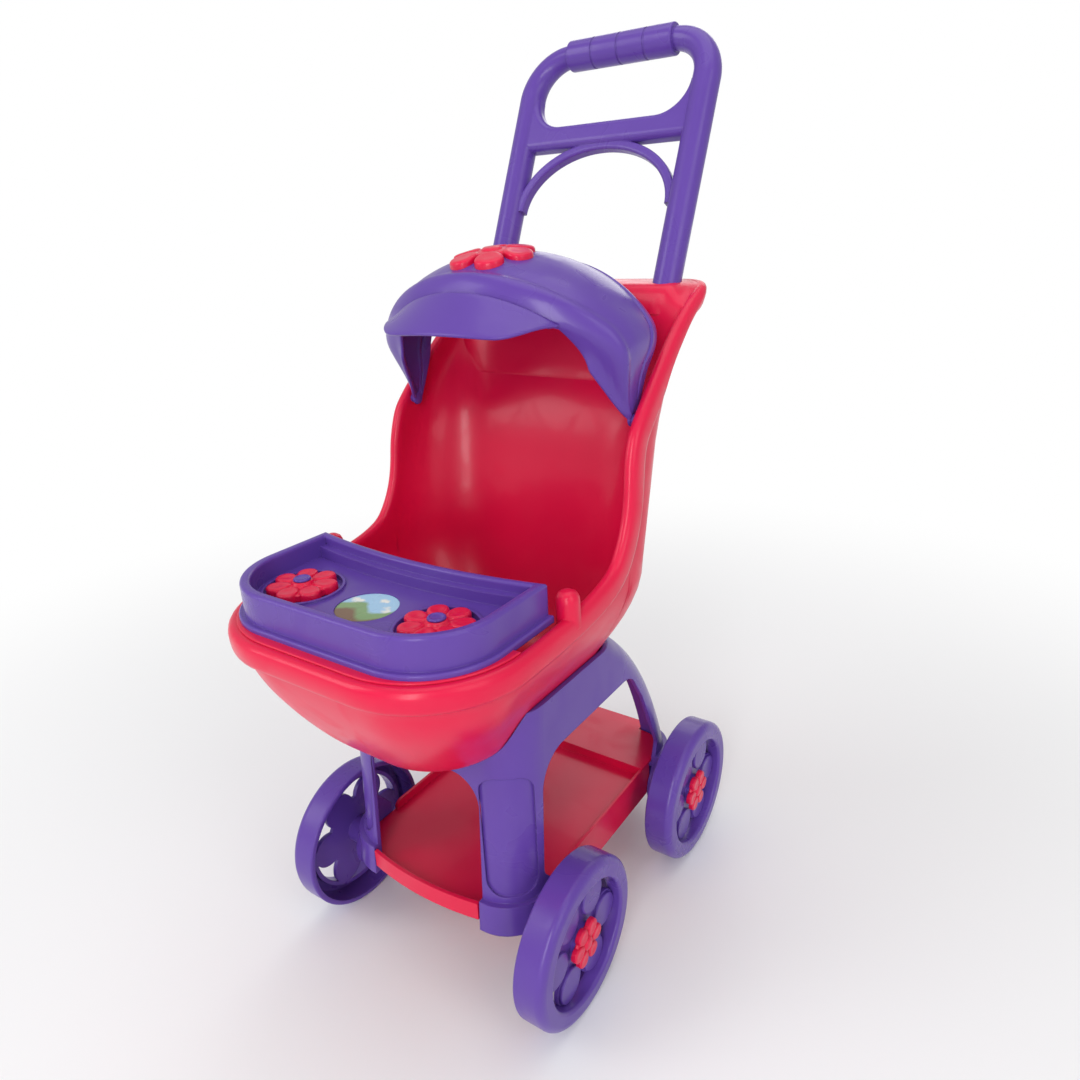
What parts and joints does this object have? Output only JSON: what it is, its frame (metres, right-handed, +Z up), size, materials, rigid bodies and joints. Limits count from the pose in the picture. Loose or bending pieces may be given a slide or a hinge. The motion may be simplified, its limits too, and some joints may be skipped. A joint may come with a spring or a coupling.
{
  "type": "doll stroller",
  "caption": "Moulded doll stroller: bucket seat with a play tray and tilting hood on a saddle chassis with a basket, petal-web wheels and a loop push handle.",
  "frame": {"origin": "on the floor, at the middle of the stroller's width and length", "axes": "+Z up, -Y towards the front of the seat, +Y towards the push handle, +X to the right of a viewer who faces the front"},
  "size_m": [0.236, 0.394, 0.6576],
  "materials": {
    "purple_plastic": "glossy moulded purple plastic",
    "crimson_plastic": "glossy moulded crimson plastic",
    "screw_steel": "plain steel screws",
    "printed_disc": "smooth pale blue inlay"
  },
  "bodies": {
    "frame": {"chassis": "purple_plastic", "basket": "crimson_plastic", "seat": "crimson_plastic", "tray": "purple_plastic", "tray_disc": "printed_disc", "handle": "purple_plastic", "spinner_pin_left": "purple_plastic", "spinner_pin_right": "purple_plastic", "wheel_pin_front_left": "crimson_plastic", "wheel_pin_front_right": "crimson_plastic", "wheel_pin_rear_left": "crimson_plastic", "wheel_pin_rear_right": "crimson_plastic", "seat_screws": "screw_steel", "basket_screws": "screw_steel", "handle_screws": "screw_steel"},
    "hood": {"canopy": "purple_plastic", "canopy_flower": "crimson_plastic"},
    "wheel_front_left": {"wheel_front_left": "purple_plastic"},
    "wheel_front_right": {"wheel_front_right": "purple_plastic"},
    "wheel_rear_left": {"wheel_rear_left": "purple_plastic"},
    "wheel_rear_right": {"wheel_rear_right": "purple_plastic"},
    "spinner_left": {"spinner_left": "crimson_plastic"},
    "spinner_right": {"spinner_right": "crimson_plastic"}
  },
  "joints": [
    {"name": "wheel_front_left_spin", "type": "hinge", "parent": "frame", "child": "wheel_front_left", "pos_m": [-0.1065, -0.085, 0.06], "axis": [1, 0, 0], "continuous": true},
    {"name": "wheel_front_right_spin", "type": "hinge", "parent": "frame", "child": "wheel_front_right", "pos_m": [0.1065, -0.085, 0.06], "axis": [1, 0, 0], "continuous": true},
    {"name": "wheel_rear_left_spin", "type": "hinge", "parent": "frame", "child": "wheel_rear_left", "pos_m": [-0.1065, 0.1026, 0.06], "axis": [1, 0, 0], "continuous": true},
    {"name": "wheel_rear_right_spin", "type": "hinge", "parent": "frame", "child": "wheel_rear_right", "pos_m": [0.1065, 0.1026, 0.06], "axis": [1, 0, 0], "continuous": true},
    {"name": "spinner_left_spin", "type": "hinge", "parent": "frame", "child": "spinner_left", "pos_m": [-0.056, -0.1395, 0.3155], "axis": [0, 0, 1], "continuous": true},
    {"name": "spinner_right_spin", "type": "hinge", "parent": "frame", "child": "spinner_right", "pos_m": [0.056, -0.1395, 0.3155], "axis": [0, 0, 1], "continuous": true},
    {"name": "hood_tilt", "type": "hinge", "parent": "frame", "child": "hood", "pos_m": [0, 0.023, 0.402], "axis": [1, 0, 0], "range_deg": [-3, 35]}
  ]
}
